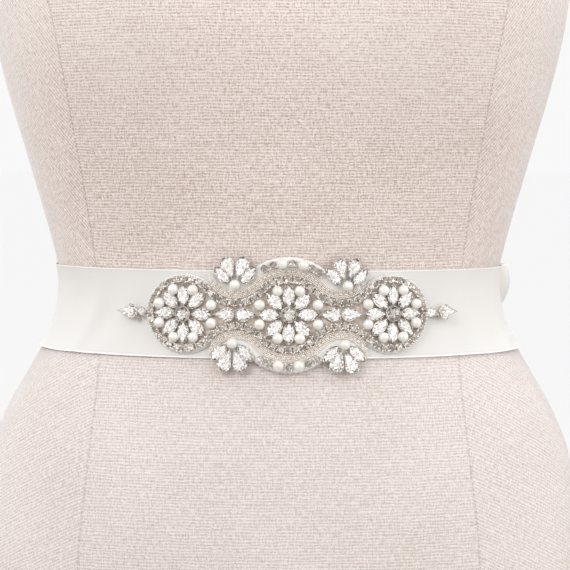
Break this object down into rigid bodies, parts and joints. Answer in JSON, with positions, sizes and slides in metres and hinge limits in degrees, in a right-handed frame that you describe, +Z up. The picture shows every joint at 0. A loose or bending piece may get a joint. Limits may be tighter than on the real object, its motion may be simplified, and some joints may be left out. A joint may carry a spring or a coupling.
{
  "type": "bridal sash on a dress form",
  "caption": "Ivory satin ribbon sash with a crystal and pearl trim in front and a bow at the back, tied round the waist of a limbless linen dress form.",
  "frame": {"origin": "middle of the dress form's underside, on the surface that it stands on", "axes": "+Z up, the front of the form and the sash's trim towards -Y, +X to the viewer's right when facing the front"},
  "size_m": [0.354, 0.2736, 0.742],
  "materials": {
    "linen": "slubby natural linen weave",
    "wood": "clear satin lacquer",
    "satin": "ivory satin with a soft sheen",
    "net": "stiff white net",
    "crystal": "cut and foil-backed",
    "silver": "bright silver-plated cups and claws set with stones",
    "pearl": "pearl lustre",
    "beads": "silver-lined"
  },
  "bodies": {
    "root": {"form_body": "linen", "form_neck_cap": "wood", "form_board": "wood", "sash_band": "satin", "sash_knot": "satin", "sash_loop_right": "satin", "sash_loop_left": "satin", "sash_tail_right": "satin", "sash_tail_left": "satin", "trim_backing": "net", "trim_stone_chain": "silver", "trim_beads_upper": "beads", "trim_beads_lower": "beads", "trim_arc_upper": "crystal", "trim_arc_pearl_upper_1": "pearl", "trim_arc_pearl_upper_2": "pearl", "trim_arc_lower": "crystal", "trim_arc_pearl_lower_1": "pearl", "trim_arc_pearl_lower_2": "pearl", "trim_flower_left": "crystal", "trim_pearl_left_1": "pearl", "trim_pearl_left_2": "pearl", "trim_pearl_left_3": "pearl", "trim_pearl_left_4": "pearl", "trim_pearl_left_5": "pearl", "trim_pearl_left_6": "pearl", "trim_pearl_left_7": "pearl", "trim_pearl_left_8": "pearl", "trim_flower_middle": "crystal", "trim_pearl_middle_1": "pearl", "trim_pearl_middle_2": "pearl", "trim_pearl_middle_3": "pearl", "trim_pearl_middle_4": "pearl", "trim_pearl_middle_5": "pearl", "trim_pearl_middle_6": "pearl", "trim_pearl_middle_7": "pearl", "trim_pearl_middle_8": "pearl", "trim_flower_right": "crystal", "trim_pearl_right_1": "pearl", "trim_pearl_right_2": "pearl", "trim_pearl_right_3": "pearl", "trim_pearl_right_4": "pearl", "trim_pearl_right_5": "pearl", "trim_pearl_right_6": "pearl", "trim_pearl_right_7": "pearl", "trim_pearl_right_8": "pearl", "trim_link_left": "crystal", "trim_end_left": "crystal", "trim_link_right": "crystal", "trim_end_right": "crystal", "trim_fan_upper_left": "crystal", "trim_fan_pearl_upper_left": "pearl", "trim_fan_upper_right": "crystal", "trim_fan_pearl_upper_right": "pearl", "trim_fan_lower_left": "crystal", "trim_fan_pearl_lower_left": "pearl", "trim_fan_lower_right": "crystal", "trim_fan_pearl_lower_right": "pearl"}
  },
  "joints": []
}
